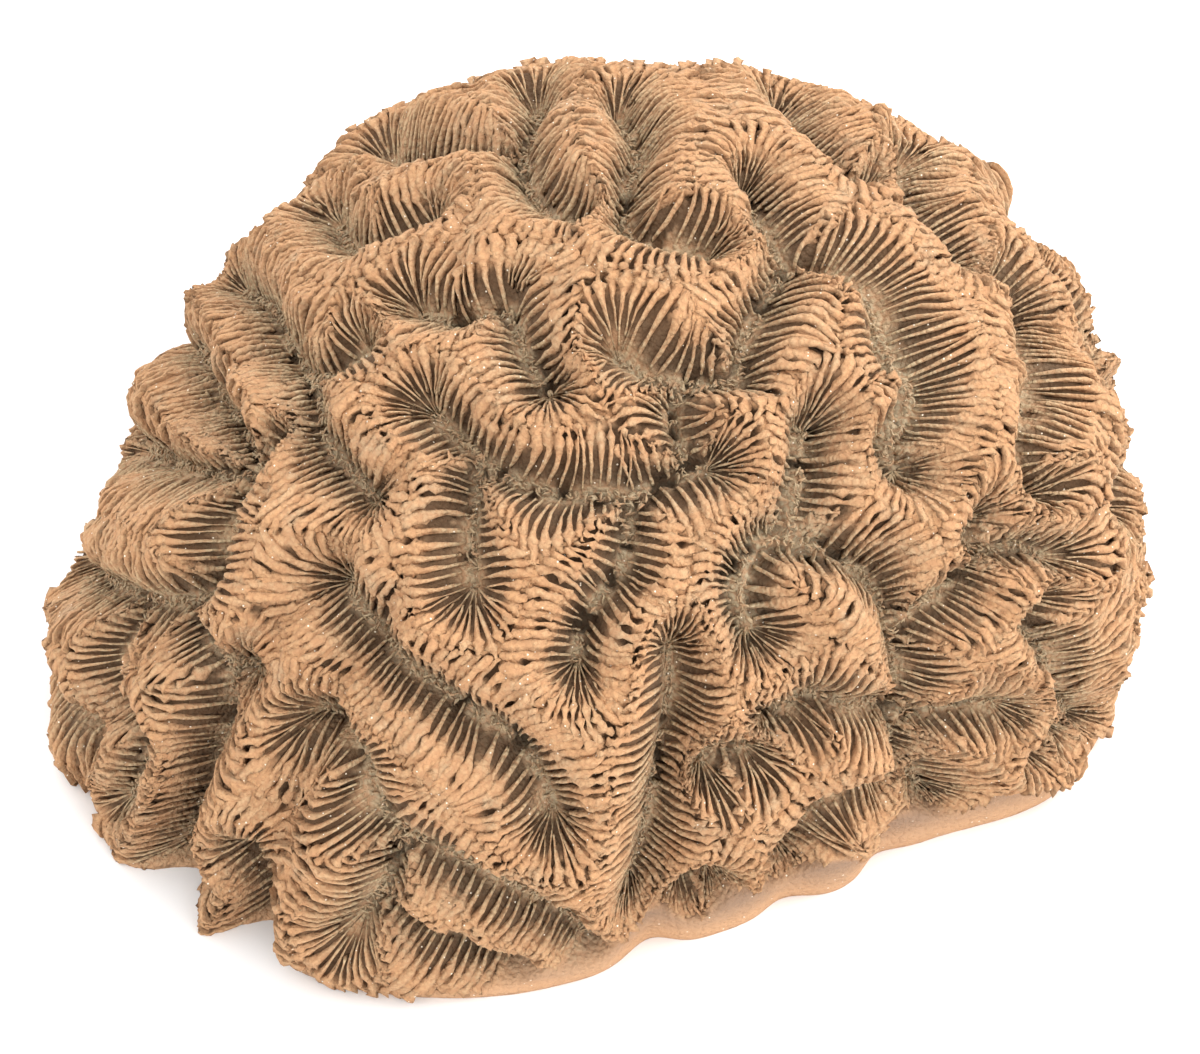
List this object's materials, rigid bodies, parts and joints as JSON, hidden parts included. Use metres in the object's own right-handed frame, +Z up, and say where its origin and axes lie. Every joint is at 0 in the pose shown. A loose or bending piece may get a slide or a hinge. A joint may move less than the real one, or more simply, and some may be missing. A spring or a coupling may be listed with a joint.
{
  "type": "brain coral",
  "caption": "Dry brain coral colony: a low lopsided dome covered in winding ribbed walls and valleys, cut off flat underneath so that it stands on its own.",
  "frame": {"origin": "middle of the bounding box, on the flat cut underneath", "axes": "+Z up from the cut to the crown, -Y towards the side that the picture shows, +X to the right in it"},
  "size_m": [0.1268, 0.1232, 0.0636],
  "materials": {
    "coral_skeleton": "dry chalky limestone, matt, tan walls with darker grey-brown valley floors"
  },
  "bodies": {
    "root": {"coral": "coral_skeleton"}
  },
  "joints": []
}
